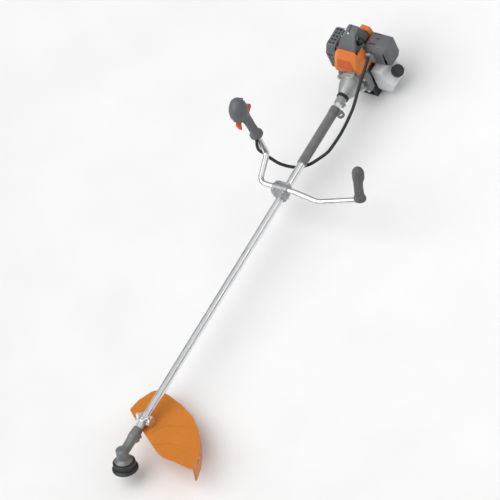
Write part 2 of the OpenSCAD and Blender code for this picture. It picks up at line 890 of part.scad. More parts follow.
module fan_housing() {
    color("dimgray") on_axis() difference() {
        union() {
            prism_x(rect([-56, bottom_z], [56, 26], 9), fan_x[0], fan_x[1]);
            rod_x(fan_x[0], 0, flange_r);
            for (a = flange_bolts)
                rotate([a, 0, 0]) translate([0, bolt_circle, 0]) rod_x(-12, 0, 7);
        }
        rod_x(fan_x[0] - 1, fan_x[1] - 2, flywheel_r + 2);
        rod_x(-15, 1, drum_r + 2);
        for (a = flange_bolts)
            rotate([a, 0, 0]) translate([9, bolt_circle, 0]) rotate([0, 90, 0]) screw_hole(26);
        for (y = [-48, 48], z = [-42, 18])
            translate([fan_x[1], y, z]) rotate([0, 90, 0]) screw_hole(17);
    }
}

module crankcase() {
    color("gray") on_axis() difference() {
        union() {
            prism_x(rect([-case_y, bottom_z], [case_y, cyl_z[0]], 10), crank_x[0], crank_x[1]);
            prism_x(rect([-42, bottom_z], [42, 24], 9), crank_x[1] - 9, crank_x[1]);
            prism_x(rect([-42, bottom_z], [42, 24], 9), crank_x[0], crank_x[0] + 9);
        }
        rod_x(-cylinder_x - 14, -cylinder_x + 14, 28);
        rod_x(crank_x[0] - 1, crank_x[1] + 1, 8 + run_fit);
        translate([-cylinder_x, 0, 0]) cylinder(h = 60, r = bore_d / 2);
    }
}

module crankshaft() {
    color("silver") on_axis() {
        rod_x(starter_x[0] + 12, -cylinder_x - 5, 8);
        rod_x(-cylinder_x + 5, 17, 8);
        translate([-cylinder_x, 0, 0]) difference() {
            rod_x(-12, 12, 25);
            rod_x(-5, 5, 30);
        }
        translate([0, 0, 15]) rod_x(-cylinder_x - 5.1, -cylinder_x + 5.1, 6);
    }
}

module flywheel() {
    blades = 16;
    color("darkgray") on_axis() difference() {
        rod_x(fan_x[0] + 0.6, fan_x[1] - 4, flywheel_r);
        rod_x(fan_x[0] - 1, fan_x[1], 8);
        for (i = [0 : blades - 1])
            rotate([360 * i / blades, 0, 0]) box([fan_x[0] + 12, -2.2, 18], [fan_x[1], 2.2, 50]);
    }
}

module cylinder_block() {
    pitch = (cyl_z[1] - cyl_z[0] - 20) / fin_count;
    translate([-cylinder_x, 0, cyl_z[0]]) cylinder(h = cyl_z[1] - cyl_z[0], r = bore_d / 2 + 4);
    for (i = [0 : fin_count - 1])
        translate([-cylinder_x, 0, cyl_z[0] + 10 + i * pitch]) linear_extrude(2)
            polygon(rect([-26, -30], [26, 30], 8));
}

module fin_cylinder() {
    color("lightgray") on_axis() difference() {
        cylinder_block();
        translate([-cylinder_x, 0, cyl_z[0] - 1]) cylinder(h = 64, r = bore_d / 2);
        plug_axis() translate([0, 0, -10]) cylinder(h = 40, r = 7);
        plug_axis() translate([0, 0, 2]) cylinder(h = 40, r = 11);
        translate([-cylinder_x, 24, 62]) rod_y(0, 20, 9);
    }
}

// Spark plug seat, leaning to the left
module plug_axis() {
    translate([-cylinder_x - 8, 12, 111]) rotate([-44, 0, 0]) children();
}

module spark_plug() {
    color("white") on_axis() plug_axis() {
        translate([0, 0, -9.9]) cylinder(h = 12, r = 7);
        translate([0, 0, 2]) cylinder(h = 7, r = 9.5, $fn = 6);
        translate([0, 0, 8.9]) cylinder(h = 22, r = 5);
    }
}

module spark_boot() {
    color("black") on_axis() plug_axis() difference() {
        union() {
            translate([0, 0, 12]) cylinder(h = 24, r = 10);
            translate([0, 0, 36]) sphere(r = 10);
            translate([0, 0, 34]) rotate([100, 0, 25]) cylinder(h = 13, r = 4.5);
        }
        translate([0, 0, 8]) cylinder(h = 22.9, r = 5);
    }
}

// ---------- Covers ----------

// Rounded hull over a list of corner points
module soft_hull(pts, r) {
    hull() for (p = pts) translate(p) sphere(r = r, $fn = 20);
}

front_corners = [
    [-14, -55, 34], [-14, 24, 34], [-38, 42, 38], [-14, -55, 48], [-18, 22, 52],
    [-40, -56, 88], [-52, 42, 84], [-41, -34, 114], [-43, 25, 118],
    [-104, -56, 34], [-104, 40, 34], [-104, -56, 90], [-104, 24, 84], [-104, -34, 114],
    [-104, 22, 118]
];

module front_cover() {
    color("orange") on_axis() difference() {
        soft_hull(front_corners, 6);
        soft_hull([
            for (p = front_corners) [p[0] < -60 ? -140 : p[0], p[1], p[2] < 40 ? 0 : p[2]]
        ], 6 - cover_wall);
        rod_x(-60, 10, flange_r + gap);
        box([-150, -80, 0], [20, 80, 29]);
        top_cover_zone(gap);
        front_panel();
        plug_axis() translate([0, 0, -20]) cylinder(h = 80, r = 15);
        translate([-cylinder_x - 10, 0, 62]) rod_y(20, 80, 15);
        translate([-cylinder_x, 0, 60]) rod_y(-80, -20, 14);
        rotate([flange_bolts[0], 0, 0]) translate([0, bolt_circle, 0]) rod_x(-60, 12, 8);
        box([-150, 26, 60], [-71, 80, 130]);
    }
}

// Shallow recess in the lower front of the orange cover
module front_panel() {
    box([-9.2, -48, 36], [0, 22, 52]);
}

// Everything behind and above the sloping seam between the two covers
module top_cover_zone(extra) {
    prism_y([
        [-39 + extra, 107 - extra], [-39 + extra, 200], [-160, 200], [-160, 80 - extra],
        [-92 + extra, 80 - extra]
    ], -90, 34 + extra);
}

top_corners = [
    [-44, -36, 112], [-44, 22, 114], [-96, -46, 84], [-66, -42, 124], [-84, -18, 150],
    [-84, 12, 150], [-112, -18, 160], [-112, 14, 158], [-122, -44, 84], [-122, 26, 108],
    [-122, -40, 130]
];

module top_cover() {
    color("dimgray") on_axis() difference() {
        soft_hull(top_corners, 5);
        soft_hull([
            for (p = top_corners)
                [p[0] < -115 ? -150 : p[0], p[1], p[2] < 115 ? p[2] - 22 : p[2]]
        ], 5 - cover_wall);
        translate([-cylinder_x, 0, 60]) cylinder(h = cyl_z[1] - 60 + gap, r = bore_d / 2 + 4 + gap);
        box([-160, -80, 40], [0, 80, 84]);
        plug_axis() translate([0, 0, -20]) cylinder(h = 90, r = 15);
    }
}

module muffler() {
    color("gray") on_axis() {
        difference() {
            prism_y(rect([-112, 12], [-46, 86], 12), -88, -62);
            prism_y(rect([-110, 14], [-48, 84], 10), -86, -64);
            translate([-60, 0, 26]) rod_y(-95, -70, 7);
        }
        translate([-cylinder_x, 0, 60]) rod_y(-62.1, -32, 12);
    }
}

guard_holes = [7, 6];
muffler_outline = [
    [-34, 4], [-34, 78], [-54, 106], [-124, 106], [-138, 88], [-138, 12], [-122, -12], [-48, -12]
];

module muffler_guard() {
    outer = rounded(muffler_outline, 10);
    color("dimgray") on_axis() difference() {
        prism_y(outer, -98, -64);
        prism_y(inset(outer, cover_wall), -98 + cover_wall, -60);
        for (i = [0 : guard_holes[0] - 1], k = [0 : guard_holes[1] - 1])
            translate([-126 + 13 * i, 0, 12 + 14 * k]) rotate([0, 45, 0])
                box([-3.4, -110, -3.4], [3.4, -90, 3.4]);
        for (i = [0 : 4], y = [-88, -76])
            translate([-118 + 14 * i, y, 90]) rotate([0, 0, 45]) box([-3, -3, 0], [3, 3, 30]);
        for (k = [0 : 4], y = [-88, -76])
            translate([-45, y, 14 + 14 * k]) rotate([45, 0, 0]) box([0, -3, -3], [30, 3, 3]);
    }
}

// ---------- Fuel and air ----------

module carburettor() {
    color("lightgray") on_axis() difference() {
        union() {
            box([-100, 48, 44], [-66, 68, 80]);
            translate([-cylinder_x - 10, 0, 62]) rod_y(30, 49, 13);
            box([-68, 50, 70], [-58, 66, 94]);
        }
        translate([-83, 0, 62]) rod_y(28, 70, 8);
        translate([-84, 58, 70]) cylinder(h = 12, r = 3 + run_fit);
    }
}

module throttle_arm() {
    color("silver") on_axis() translate([-84, 58, 71]) {
        cylinder(h = 11, r = 3);
        translate([0, 0, 10]) linear_extrude(2.5)
            polygon(rounded([[-5, -5], [5, -5], [5, 8], [-2, 8]], 2));
    }
}

module choke_lever() {
    color("black") on_axis() translate([-110, 0, 34]) {
        rod_y(51, 73, 3);
        prism_y(rounded([[-4, 3.5], [4, 3.5], [5, -17], [-5, -17]], 1.5), 51, 55);
    }
}

air_outline = [
    [-88, 20], [-132, 18], [-148, 34], [-152, 94], [-142, 106], [-94, 106], [-76, 86], [-74, 34]
];

module air_filter_base() {
    color("dimgray") on_axis() difference() {
        prism_y(inset(rounded(air_outline, 5), -(cover_wall + gap)), 68.2, 74);
        translate([-83, 0, 62]) rod_y(60, 90, 8);
        translate([-110, 0, 34]) rod_y(60, 80, 3 + run_fit);
    }
}

module air_filter_element() {
    pleats = 12;
    color("wheat") on_axis() difference() {
        prism_y(rect([-138, 32], [-90, 94], 6), 74.1, 94);
        for (i = [0 : pleats - 1])
            box([-136 + 3.9 * i, 84, 30], [-134.2 + 3.9 * i, 96, 96]);
    }
}

module air_filter_cover() {
    outer = rounded(air_outline, 6);
    color("dimgray") on_axis() difference() {
        intersection() {
            prism_y(outer, box_y[0], box_y[1]);
            translate([0, 0, 10]) linear_extrude(110) polygon(rounded([
                [-70, 28], [-155, 28], [-155, 100], [-146, box_y[1]], [-94, box_y[1]], [-70, 96]
            ], 6));
        }
        prism_y(inset(outer, -cover_wall), 20, box_y[1] - cover_wall - 6);
        box([-160, 20, 0], [-60, 68 + gap, 84 + gap]);
        for (slot = [[-98, 58, 14], [-123, 68, 6], [-141, 58, 14]])
            box([slot[0] - 2, slot[1] - slot[2], 104.6], [slot[0] + 2, slot[1] + slot[2], 110]);
        box([-124, box_y[1] - 1.4, 58], [-120, box_y[1] + 1, 72]);
    }
}

tank_outline = [[44, -86], [52, -95], [86, -95], [104, -80], [120, -52], [86, -18], [86, 12], [44, 12]];

module fuel_tank() {
    outer = rounded(tank_outline, 7);
    color("whitesmoke") on_axis() difference() {
        union() {
            intersection() {
                prism_x(outer, -134, -54);
                prism_y(rect([-134, -100], [-54, 20], 12), 30, 140);
            }
            translate(cap_at) point_to(cap_dir) translate([0, 0, -3]) cylinder(h = 13, r = 16);
        }
        intersection() {
            prism_x(inset(outer, tank_wall), -134 + tank_wall, -54 - tank_wall);
            prism_y(rect([-134 + tank_wall, -98], [-54 - tank_wall, 18], 10), 30, 140);
        }
        translate(cap_at) point_to(cap_dir) translate([0, 0, -8]) cylinder(h = 30, r = 12.5);
    }
}

module fuel_cap() {
    color("black") on_axis() translate(cap_at) point_to(cap_dir) difference() {
        union() {
            translate([0, 0, 2]) cylinder(h = 15, r = cap_d / 2 - 1.2);
            for (i = [0 : cap_ribs - 1])
                rotate(360 * i / cap_ribs) translate([cap_d / 2 - 1.4, 0, 2]) cylinder(h = 14, r = 1.6);
            translate([0, 0, 17]) cylinder(h = 1.5, r = cap_d / 2 - 5);
        }
        translate([0, 0, 1]) cylinder(h = 11 + gap, r = 16 + gap);
    }
}

module fuel_cap_seal() {
    color("dimgray") on_axis() translate(cap_at) point_to(cap_dir) difference() {
        translate([0, 0, 10]) cylinder(h = 1.5, r = 15.8);
        translate([0, 0, 9]) cylinder(h = 4, r = 12.5);
    }
}

module tank_stand() {
    color("black") on_axis() difference() {
        prism_x(rounded([
            [-40, ground], [40, ground], [40, ground + 8], [34, bottom_z - 12], [34, bottom_z],
            [-34, bottom_z], [-34, bottom_z - 12], [-40, ground + 8]
        ], 1.5), stand_x[0], stand_x[1]);
        prism_x(rounded([
            [-30, ground + 8], [30, ground + 8], [24, bottom_z - 10], [-24, bottom_z - 10]
        ], 6), stand_x[0] - 1, stand_x[1] + 1);
    }
}

// ---------- Starter ----------

module starter_housing() {
    color("dimgray") on_axis() difference() {
        union() {
            turned_x([
                [starter_x[1], 0], [starter_x[1], starter_r], [starter_x[0] + 5, starter_r - 1],
                [starter_x[0], starter_r - 7], [starter_x[0], 0]
            ]);
            translate([pull_x, pull_y, 30]) cylinder(h = 22, r = 9);
        }
        rod_x(starter_x[0] + 8, starter_x[1] + 1, pulley_r + 10);
        translate([pull_x, pull_y, 0]) cylinder(h = 60, r = 2.5);
        for (i = [0 : 11])
            rotate([30 * i, 0, 0]) box([starter_x[0] - 1, -2, 16], [starter_x[0] + 9, 2, 32]);
    }
}

module starter_pulley() {
    color("white") on_axis() difference() {
        turned_x([
            [pull_x - 6, 0], [pull_x - 6, pulley_r + 4], [pull_x - 4, pulley_r + 4],
            [pull_x - 3, pulley_r], [pull_x + 3, pulley_r], [pull_x + 4, pulley_r + 4],
            [pull_x + 6, pulley_r + 4], [pull_x + 6, 0]
        ]);
        rod_x(pull_x - 10, pull_x + 10, 8 + run_fit);
    }
}

module starter_handle() {
    color("black") on_axis() translate([pull_x, pull_y, 52 + gap]) {
        cylinder(h = 12, r = 8);
        translate([0, 0, 12]) rod_y(-17, 17, 8);
        translate([0, 17, 12]) sphere(r = 8);
        translate([0, -17, 12]) sphere(r = 8);
    }
}

// ---------- Engine screws ----------

module engine_screws() {
    color("silver") on_axis() {
        for (a = flange_bolts)
            rotate([a, 0, 0]) translate([9, bolt_circle, 0]) rotate([0, 90, 0]) screw(20);
        for (y = [-48, 48])
            translate([fan_x[1], y, -42]) rotate([0, 90, 0]) screw(16);
        translate([fan_x[1], 48, 18]) rotate([0, 90, 0]) screw(16);
    }
}

shaft_tube();
drive_shaft();
shaft_bushings();
grip_sleeve();
harness_bracket();
handlebar_tube();
handlebar_clamp_base();
handlebar_clamp_cap();
left_grip();
throttle_shell_left();
throttle_shell_right();
throttle_trigger();
trigger_lockout();
stop_switch();
throttle_cable();
clamp_screws();
guard();
guard_bracket();
guard_clamp_cap();
gearcase();
pinion_gear();
output_gear();
output_shaft();
gear_bearings();
head_housing();
head_cover();
head_spool();
trimmer_line();
bump_knob();
head_spring();
clutch_housing();
damper_ring();
tube_collar();
clutch_drum();
clutch_rotor();
fan_housing();
crankcase();
crankshaft();
flywheel();
fin_cylinder();  // cylinder
spark_plug();
spark_boot();
front_cover();
top_cover();
muffler();
muffler_guard();
carburettor();
throttle_arm();
choke_lever();
air_filter_base();
air_filter_element();
air_filter_cover();
fuel_tank();
fuel_cap();
fuel_cap_seal();
tank_stand();
starter_housing();
starter_pulley();
starter_handle();
engine_screws();
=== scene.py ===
import bmesh
import bpy
import math
from mathutils import Matrix, Vector
from mathutils.bvhtree import BVHTree


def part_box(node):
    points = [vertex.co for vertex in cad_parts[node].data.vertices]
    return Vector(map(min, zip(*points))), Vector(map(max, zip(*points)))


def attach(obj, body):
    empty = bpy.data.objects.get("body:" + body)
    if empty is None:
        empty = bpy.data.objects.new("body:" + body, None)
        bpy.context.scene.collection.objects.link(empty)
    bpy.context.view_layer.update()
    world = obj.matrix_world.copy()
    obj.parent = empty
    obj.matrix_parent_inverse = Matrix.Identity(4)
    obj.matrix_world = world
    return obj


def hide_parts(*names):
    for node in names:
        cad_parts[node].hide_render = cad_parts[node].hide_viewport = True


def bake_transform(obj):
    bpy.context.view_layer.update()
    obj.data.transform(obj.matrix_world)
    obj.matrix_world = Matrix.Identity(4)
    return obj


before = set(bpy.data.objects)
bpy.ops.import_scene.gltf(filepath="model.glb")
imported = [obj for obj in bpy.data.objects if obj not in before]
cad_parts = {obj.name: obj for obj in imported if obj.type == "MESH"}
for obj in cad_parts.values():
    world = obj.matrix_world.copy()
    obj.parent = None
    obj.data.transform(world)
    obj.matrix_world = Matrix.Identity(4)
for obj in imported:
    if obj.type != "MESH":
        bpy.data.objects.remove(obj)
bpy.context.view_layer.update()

# The row frame's origin is under the engine; the shaft axis runs along X at this height.
tube_low, tube_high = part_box("shaft_tube")
AXIS_Z = (tube_low.z + tube_high.z) / 2
FLANGE_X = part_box("clutch_housing")[0].x


# ---------- Camera ----------

VIEW_RIGHT = Vector((-0.4764, 0.8302, -0.2894)).normalized()
VIEW_BACK = Vector((0.42, 0.5042, 0.7546)).normalized()
CAMERA_DISTANCE = 60.0  # far off, so the view is almost parallel
FIELD_WIDTH = 1.655  # metres across the picture, at the machine
LEFT_OF_FLANGE = 0.339
BELOW_FLANGE = 0.557


def place_camera():
    """Looks down on the machine from its front left, rolled so the shaft runs down to the left."""
    back = VIEW_BACK
    up = back.cross(VIEW_RIGHT).normalized()
    right = up.cross(back).normalized()
    flange = Vector((FLANGE_X, 0, AXIS_Z))
    centre = flange - right * LEFT_OF_FLANGE - up * BELOW_FLANGE
    data = bpy.data.cameras.new("camera")
    data.sensor_width = 36
    data.lens = data.sensor_width * CAMERA_DISTANCE / FIELD_WIDTH
    data.clip_start = 0.1
    data.clip_end = CAMERA_DISTANCE * 1.5
    cam = bpy.data.objects.new("camera", data)
    bpy.context.collection.objects.link(cam)
    cam.matrix_world = Matrix.Translation(centre + back * CAMERA_DISTANCE) @ Matrix(
        (right, up, back)
    ).transposed().to_4x4()
    bpy.context.scene.camera = cam


place_camera()


# ---------- Throttle cable ----------

# The route of part.scad, in metres: out of the handle's foot, under the shaft tube, up to
# the carburettor
CABLE_ROUTE = [
    (0.451, -0.126, 0.232), (0.459, -0.128, 0.208), (0.457, -0.131, 0.180),
    (0.449, -0.122, 0.153), (0.451, -0.104, 0.139), (0.453, -0.074, 0.125),
    (0.445, -0.049, 0.108), (0.434, -0.028, 0.096), (0.421, -0.009, 0.091),
    (0.406, 0.010, 0.091), (0.382, 0.031, 0.096), (0.351, 0.053, 0.103),
    (0.323, 0.062, 0.110), (0.283, 0.069, 0.118), (0.246, 0.072, 0.126),
    (0.213, 0.073, 0.134), (0.180, 0.072, 0.142), (0.123, 0.066, 0.162),
    (0.067, 0.063, 0.184), (0.039, 0.062, 0.197), (0.017, 0.058, 0.202),
]
CABLE_D = 0.011
CABLE_STEPS = 6  # path points in each span of the route


def through(points, steps):
    """Smooth Catmull-Rom path through points, with a number of steps in each span."""
    out = []
    pts = [Vector(p) for p in points]
    for i in range(len(pts) - 1):
        a = pts[i - 1] if i else 2 * pts[0] - pts[1]
        b, c = pts[i], pts[i + 1]
        d = pts[i + 2] if i + 2 < len(pts) else 2 * pts[-1] - pts[-2]
        for k in range(steps):
            t = k / steps
            out.append(
                0.5 * (2 * b + (c - a) * t + (2 * a - 5 * b + 4 * c - d) * t * t
                       + (3 * b - a - 3 * c + d) * t * t * t)
            )
    out.append(pts[-1])
    return out


# ---------- Materials: every one is a Principled shader with its own pattern nodes ----------

class Finish:
    """A Principled material whose pattern nodes read object coordinates, in metres."""

    def __init__(self, name, roughness, metallic=0.0):
        self.name = name
        self.mat = bpy.data.materials.new("finish_" + name)
        self.mat.use_nodes = True
        self.tree = self.mat.node_tree
        self.shader = self.tree.nodes["Principled BSDF"]
        self.shader.inputs["Metallic"].default_value = metallic
        self.shader.inputs["Roughness"].default_value = roughness
        self.place = self.add("ShaderNodeTexCoord").outputs["Object"]

    def add(self, kind, **values):
        """A new shader node with some of its settings."""
        node = self.tree.nodes.new(kind)
        for key, value in values.items():
            setattr(node, key, value)
        return node

    def link(self, source, socket):
        self.tree.links.new(source, socket)

    def stretched(self, scale):
        """Object coordinates, scaled along each axis."""
        node = self.add("ShaderNodeMapping")
        node.inputs["Scale"].default_value = scale
        self.link(self.place, node.inputs["Vector"])
        return node.outputs["Vector"]

    def noise(self, scale, detail=3.0, stretch=(1, 1, 1), distortion=0.0):
        """Fractal noise, 'scale' cells to a metre."""
        node = self.add("ShaderNodeTexNoise")
        node.inputs["Scale"].default_value = scale
        node.inputs["Detail"].default_value = detail
        node.inputs["Distortion"].default_value = distortion
        self.link(self.stretched(stretch), node.inputs["Vector"])
        return node.outputs["Fac"]

    def cells(self, scale):
        """Distance to the middle of the nearest cell, 'scale' cells to a metre."""
        node = self.add("ShaderNodeTexVoronoi", feature="F1")
        node.inputs["Scale"].default_value = scale
        self.link(self.place, node.inputs["Vector"])
        return node.outputs["Distance"]

    def rings(self, scale):
        """Even bands across X."""
        node = self.add("ShaderNodeTexWave", wave_type="BANDS", bands_direction="X")
        node.inputs["Scale"].default_value = scale
        self.link(self.place, node.inputs["Vector"])
        return node.outputs["Fac"]

    def between(self, factor, low, high, start=0.35, end=0.65):
        """Maps a pattern to a number between low and high."""
        node = self.add("ShaderNodeMapRange", clamp=True)
        node.inputs["From Min"].default_value = start
        node.inputs["From Max"].default_value = end
        node.inputs["To Min"].default_value = low
        node.inputs["To Max"].default_value = high
        self.link(factor, node.inputs["Value"])
        return node.outputs["Result"]

    def tint(self, factor, dark, light, start=0.3, end=0.7):
        """Colour that goes from dark to light with a pattern."""
        node = self.add("ShaderNodeValToRGB")
        first, last = node.color_ramp.elements
        first.position, last.position = start, end
        first.color = (*dark, 1)
        last.color = (*light, 1)
        self.link(factor, node.inputs["Fac"])
        return node.outputs["Color"]

    def base(self, colour):
        self.link(colour, self.shader.inputs["Base Color"])

    def rough(self, factor):
        self.link(factor, self.shader.inputs["Roughness"])

    def bumps(self, *layers):
        """Bump layers of (pattern, height in metres), one on top of the other."""
        under = None
        for height, depth in layers:
            node = self.add("ShaderNodeBump")
            node.inputs["Strength"].default_value = 1.0
            node.inputs["Distance"].default_value = depth
            self.link(height, node.inputs["Height"])
            if under:
                self.link(under, node.inputs["Normal"])
            under = node.outputs["Normal"]
        self.link(under, self.shader.inputs["Normal"])


def linear(red, green, blue):
    """A colour as seen on screen, 0 to 255, in the linear values that shaders take."""
    return tuple(
        (c / 255 / 12.92) if c / 255 <= 0.04045 else ((c / 255 + 0.055) / 1.055) ** 2.4
        for c in (red, green, blue)
    )


def shaded(colour, factor):
    """A colour made darker or lighter, up to white."""
    return tuple(min(1.0, c * factor) for c in colour)


def moulded(name, colour, roughness=0.45, grain=1400, depth=0.00006, spread=0.12):
    """Moulded plastic: spark-eroded grain 'depth' metres deep, faint flow marks and polish."""
    f = Finish(name, roughness)
    flow = f.noise(14, 4, distortion=0.4)
    f.base(f.tint(flow, shaded(colour, 1 - spread), shaded(colour, 1 + spread)))
    f.rough(f.between(f.noise(45, 5), roughness - 0.08, roughness + 0.1))
    f.bumps((f.noise(grain, 2), depth), (f.noise(110, 3), depth * 1.5))
    return f


def cast(name, colour, roughness=0.42):
    """Die-cast aluminium: fine sand grain, cloudy patches and small pits."""
    f = Finish(name, roughness, metallic=0.55)
    cloud = f.noise(32, 5, distortion=0.6)
    f.base(f.tint(cloud, shaded(colour, 0.8), shaded(colour, 1.12)))
    f.rough(f.between(f.noise(90, 4), roughness - 0.1, roughness + 0.14))
    pits = f.between(f.cells(520), 0, 1, 0.05, 0.3)
    f.bumps((f.noise(1100, 3), 0.00012), (pits, 0.00008), (f.noise(160, 3), 0.00018))
    return f


def drawn(name, colour, roughness, along):
    """Drawn metal: hairline streaks along the tube, with rubbed patches."""
    f = Finish(name, roughness, metallic=1.0)
    streaks = f.noise(420, 3, stretch=along)
    f.base(f.tint(streaks, shaded(colour, 0.95), shaded(colour, 1.03)))
    rubbed = f.noise(26, 4)
    f.rough(f.between(rubbed, roughness - 0.06, roughness + 0.12))
    f.bumps((streaks, 0.000006), (f.noise(700, 2), 0.000004))
    return f


def zinc(name, colour):
    """Bright zinc plate with a faint crystal pattern."""
    f = Finish(name, 0.3, metallic=1.0)
    crystals = f.cells(260)
    f.base(f.tint(crystals, shaded(colour, 0.85), shaded(colour, 1.08), 0.0, 0.8))
    f.rough(f.between(f.noise(180, 3), 0.2, 0.42))
    f.bumps((crystals, 0.00004), (f.noise(900, 2), 0.00004))
    return f


def turned(name, colour, roughness=0.3):
    """Turned steel: tool rings across X and a film of oil."""
    f = Finish(name, roughness, metallic=1.0)
    film = f.noise(60, 4, distortion=0.8)
    f.base(f.tint(film, shaded(colour, 0.7), shaded(colour, 1.1)))
    f.rough(f.between(f.noise(140, 3), roughness - 0.08, roughness + 0.15))
    f.bumps((f.rings(700), 0.00003), (f.noise(500, 2), 0.00003))
    return f


def foam(name, colour):
    """Closed-cell foam: a skin of small cells, with softer dents."""
    f = Finish(name, 0.82)
    cells = f.cells(620)
    mottle = f.noise(36, 5)
    f.base(f.tint(mottle, shaded(colour, 0.8), shaded(colour, 1.15)))
    f.rough(f.between(cells, 0.9, 0.72, 0.0, 0.6))
    f.bumps((cells, 0.00035), (f.noise(90, 4), 0.0006))
    f.shader.inputs["Sheen Weight"].default_value = 0.25
    f.shader.inputs["Sheen Roughness"].default_value = 0.5
    return f


def rubber(name, colour, roughness=0.62):
    """Moulded rubber: dull, with fine talc bloom."""
    f = Finish(name, roughness)
    bloom = f.noise(48, 6, distortion=0.5)
    f.base(f.tint(bloom, shaded(colour, 0.75), shaded(colour, 1.35)))
    f.rough(f.between(f.noise(200, 3), roughness - 0.06, roughness + 0.14))
    f.bumps((f.noise(1500, 2), 0.0001), (f.noise(130, 3), 0.00012))
    return f


def milky(name, colour):
    """Translucent blow-moulded tank: light goes a little way in, thickness varies."""
    f = Finish(name, 0.34)
    wall = f.noise(22, 4, distortion=0.5)
    f.base(f.tint(wall, shaded(colour, 0.86), shaded(colour, 1.05)))
    f.rough(f.between(f.noise(120, 3), 0.26, 0.46))
    f.bumps((f.noise(60, 3), 0.0002), (f.noise(900, 2), 0.00003))
    f.shader.inputs["Subsurface Weight"].default_value = 0.35
    f.shader.inputs["Subsurface Radius"].default_value = (0.012, 0.012, 0.011)
    f.shader.inputs["Subsurface Scale"].default_value = 1.0
    return f


def fibrous(name, colour):
    """Filter paper: matted fibres."""
    f = Finish(name, 0.9)
    fibres = f.noise(700, 5, stretch=(1, 1, 0.15))
    f.base(f.tint(fibres, shaded(colour, 0.8), shaded(colour, 1.1)))
    f.rough(f.between(fibres, 0.8, 0.96))
    f.bumps((fibres, 0.0002))
    return f


GREY_PLASTIC = linear(96, 97, 100)
FINISHES = {
    f.name: f.mat
    for f in (
        drawn("polished_aluminium", (0.84, 0.85, 0.86), 0.3, (0.02, 1, 1)),
        cast("cast_aluminium", (0.40, 0.405, 0.41), 0.46),
        zinc("zinc_plate", (0.80, 0.81, 0.80)),
        turned("steel", (0.42, 0.42, 0.43)),
        cast("gear_grey", (0.25, 0.255, 0.26), 0.5),
        turned("bronze", (0.52, 0.30, 0.13), 0.36),
        foam("foam_grey", linear(118, 118, 119)),
        rubber("grip_rubber", linear(96, 96, 97)),
        moulded("handle_grey", linear(106, 107, 109), 0.5),
        moulded("cover_grey", GREY_PLASTIC, 0.42),
        moulded("black_plastic", linear(38, 39, 41), 0.4, spread=0.2),
        rubber("cable_black", linear(30, 30, 32), 0.45),
        moulded("cover_orange", linear(228, 126, 52), 0.36, 1800, 0.00002, 0.04),
        # Darker orange of the front recess pad: painted shade, the recess's shading painted as
        # colour.
        moulded("painted_shade_orange", linear(206, 92, 34), 0.34, 1800, 0.00002, 0.05),
        moulded("guard_orange", linear(216, 128, 40), 0.34, 1800, 0.00001, 0.03),
        moulded("trigger_orange", linear(214, 82, 36), 0.34, 1800, 0.00003, 0.06),
        moulded("switch_red", linear(150, 34, 36), 0.34, 1800, 0.00003, 0.08),
        milky("tank_white", linear(240, 241, 242)),
        fibrous("paper", linear(206, 190, 150)),
        moulded("line_nylon", linear(222, 110, 36), 0.25, 2200, 0.00002, 0.08),
        moulded("ceramic", linear(232, 232, 228), 0.2, 2200, 0.00001, 0.03),
    )
}


# ---------- CAD nodes: finishes, softened edges and smooth shading ----------

CREASE = math.radians(38)  # edges sharper than this stay edges
FLAT = math.radians(0.5)  # faces closer to one plane than this are merged
WELD_DISTANCE = 0.00001

# Width of the softened edges of each finish, in metres; the other finishes stay sharp
EDGE_WIDTHS = {
    "cast_aluminium": 0.0009, "gear_grey": 0.0011, "zinc_plate": 0.0005,
    "polished_aluminium": 0.0004, "handle_grey": 0.0006, "cover_grey": 0.0011,
    "black_plastic": 0.0008, "cover_orange": 0.0010, "guard_orange": 0.0008,
    "trigger_orange": 0.0008, "switch_red": 0.0006, "tank_white": 0.0008,
    "foam_grey": 0.0012, "grip_rubber": 0.0008, "cable_black": 0.0008,
}


def finish_node(node):
    """Gives a CAD node its finish, and catches the light along its edges."""
    slot = node.material_slots[0]
    finish = slot.material.name.split(".")[0]
    slot.material = FINISHES[finish]
    if "custom_normal" in node.data.attributes:
        node.data.attributes.remove(node.data.attributes["custom_normal"])
    node.data.polygons.foreach_set("use_smooth", [True] * len(node.data.polygons))
    weld = node.modifiers.new("weld", "WELD")
    weld.merge_threshold = WELD_DISTANCE
    if finish in EDGE_WIDTHS:
        merge = node.modifiers.new("merge", "DECIMATE")
        merge.decimate_type = "DISSOLVE"
        merge.angle_limit = FLAT
        soft = node.modifiers.new("soften", "BEVEL")
        soft.width = EDGE_WIDTHS[finish]
        soft.segments = 2
        soft.limit_method = "ANGLE"
        soft.angle_limit = CREASE
        soft.harden_normals = True
    split = node.modifiers.new("crease", "EDGE_SPLIT")
    split.split_angle = CREASE


for node_name in sorted(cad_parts):
    finish_node(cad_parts[node_name])


# ---------- Mesh helpers ----------


def piece(name, verts, faces, finish, body, smooth=True):
    """A mesh piece with a finish, riding on a CAD body if one is named."""
    mesh = bpy.data.meshes.new(name)
    mesh.from_pydata([tuple(v) for v in verts], [], faces)
    mesh.update()
    obj = bpy.data.objects.new(name, mesh)
    bpy.context.collection.objects.link(obj)
    mesh.materials.append(FINISHES[finish])
    if smooth:
        mesh.polygons.foreach_set("use_smooth", [True] * len(mesh.polygons))
    if body:
        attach(obj, body)
    return obj


def add_cable():
    """The sheath, as a round curve along its route, in place of the CAD's swept solid."""
    path = through(CABLE_ROUTE, CABLE_STEPS)
    curve = bpy.data.curves.new("cable_sheath", "CURVE")
    curve.dimensions = "3D"
    curve.bevel_depth = CABLE_D / 2
    curve.bevel_resolution = 6
    curve.use_fill_caps = True
    spline = curve.splines.new("POLY")
    spline.points.add(len(path) - 1)
    for point, p in zip(spline.points, path):
        point.co = (*p, 1)
    obj = bpy.data.objects.new("cable_sheath", curve)
    bpy.context.collection.objects.link(obj)
    curve.materials.append(FINISHES["cable_black"])
    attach(obj, "root")
    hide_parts("throttle_cable")


add_cable()


# ---------- Small parts that the CAD leaves out ----------

